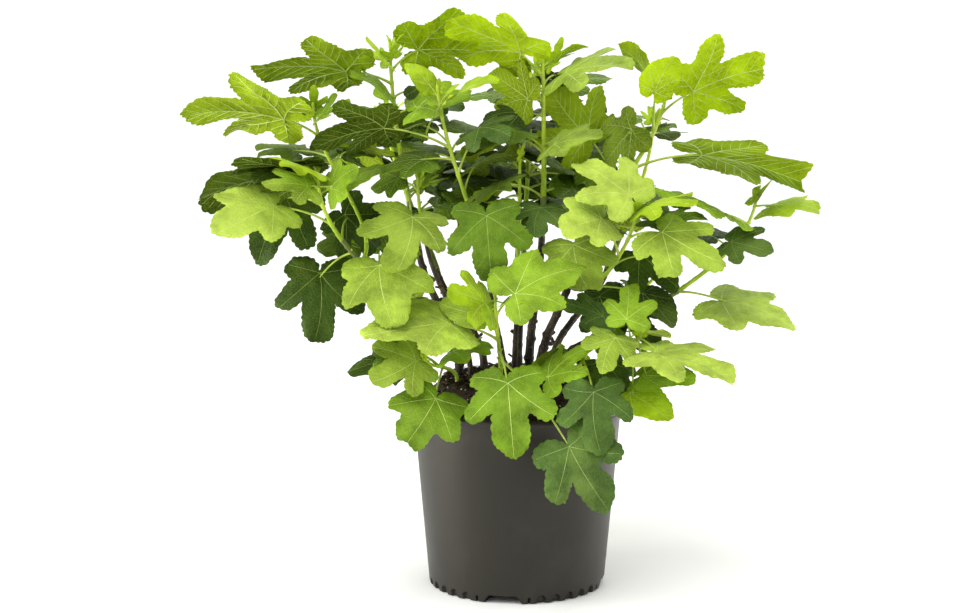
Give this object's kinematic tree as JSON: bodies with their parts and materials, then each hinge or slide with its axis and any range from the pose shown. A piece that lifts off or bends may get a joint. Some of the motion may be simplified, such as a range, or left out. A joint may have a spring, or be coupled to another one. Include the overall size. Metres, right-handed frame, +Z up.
{
  "type": "potted fig tree",
  "caption": "Young multi-stemmed fig tree with lobed leaves, standing in a round black plastic nursery pot filled with soil.",
  "frame": {"origin": "centre of the pot's flat underside", "axes": "+Z up along the pot's axis, -Y the side the plant is looked at from, +X its right side"},
  "size_m": [0.7422, 0.5397, 0.6996],
  "materials": {
    "pot": "satin charcoal plastic with faint upright streaks",
    "soil": "dark loose potting mix with pale specks",
    "bark": "dark brown bark with low ridges",
    "foliage": "leaves in several greens, from lime at the tips to deep green inside"
  },
  "bodies": {
    "root": {"pot": "pot", "soil": "soil", "stem_left": "bark", "stem_left_inner": "bark", "stem_centre_left": "bark", "stem_centre": "bark", "stem_middle": "bark", "stem_middle_right": "bark", "stem_right": "bark", "stem_back_left": "bark", "stem_back": "bark", "stem_back_right": "bark", "bough_left": "bark", "foliage_top_left": "foliage", "foliage_left_high": "foliage", "foliage_left": "foliage", "foliage_inner_left": "foliage", "foliage_centre_left": "foliage", "foliage_top": "foliage", "foliage_centre": "foliage", "foliage_top_right": "foliage", "foliage_right": "foliage", "foliage_far_right": "foliage", "foliage_low_right": "foliage", "foliage_front": "foliage", "foliage_low_left": "foliage", "foliage_low_front": "foliage", "foliage_back_left": "foliage", "foliage_back": "foliage", "foliage_back_right": "foliage", "foliage_back_low_left": "foliage", "foliage_back_low": "foliage", "foliage_back_low_right": "foliage"}
  },
  "joints": []
}
